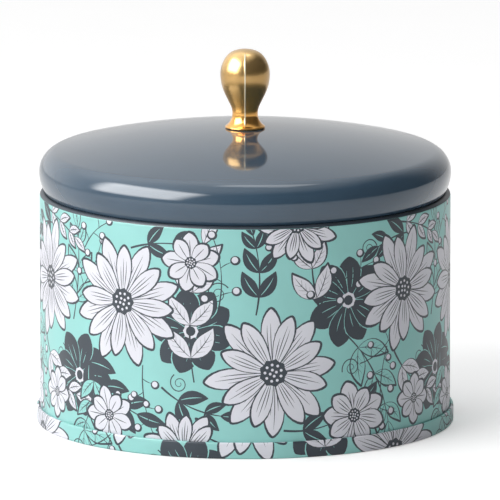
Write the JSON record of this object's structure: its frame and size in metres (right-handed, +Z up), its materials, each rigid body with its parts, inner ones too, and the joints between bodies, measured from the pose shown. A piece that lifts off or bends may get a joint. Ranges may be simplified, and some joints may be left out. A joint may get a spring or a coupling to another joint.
{
  "type": "tea caddy",
  "caption": "Round printed tinplate tea caddy with a double-seamed base and a domed, enamelled lift-off lid with a plug ring and a cast metal knob.",
  "frame": {"origin": "on the table, under the centre of the base", "axes": "+Z up along the caddy's axis and the way the lid lifts, -Y towards the pictured front, side seam at +Y"},
  "size_m": [0.122, 0.122, 0.1097],
  "materials": {
    "printed_tin": "aqua ground with a white and slate flower print under a gloss varnish",
    "base_tin": "printed outer band, bare lacquered tinplate underneath",
    "lid_enamel": "glossy slate-blue enamel outside, lacquered tinplate inside",
    "bare_tin": "bright tinplate",
    "knob_brass": "satin-polished brass plating",
    "fastener_steel": "zinc-plated steel"
  },
  "bodies": {
    "caddy": {"body_wall": "printed_tin", "base_plate": "base_tin"},
    "lid": {"lid_cover": "lid_enamel", "lid_plug_ring": "bare_tin", "knob": "knob_brass", "knob_screw": "fastener_steel", "flat_washer": "fastener_steel", "spring_washer": "fastener_steel"}
  },
  "joints": [
    {"name": "lid_lift", "type": "slide", "parent": "caddy", "child": "lid", "axis": [0, 0, 1], "range_m": [0, 0.1]}
  ]
}
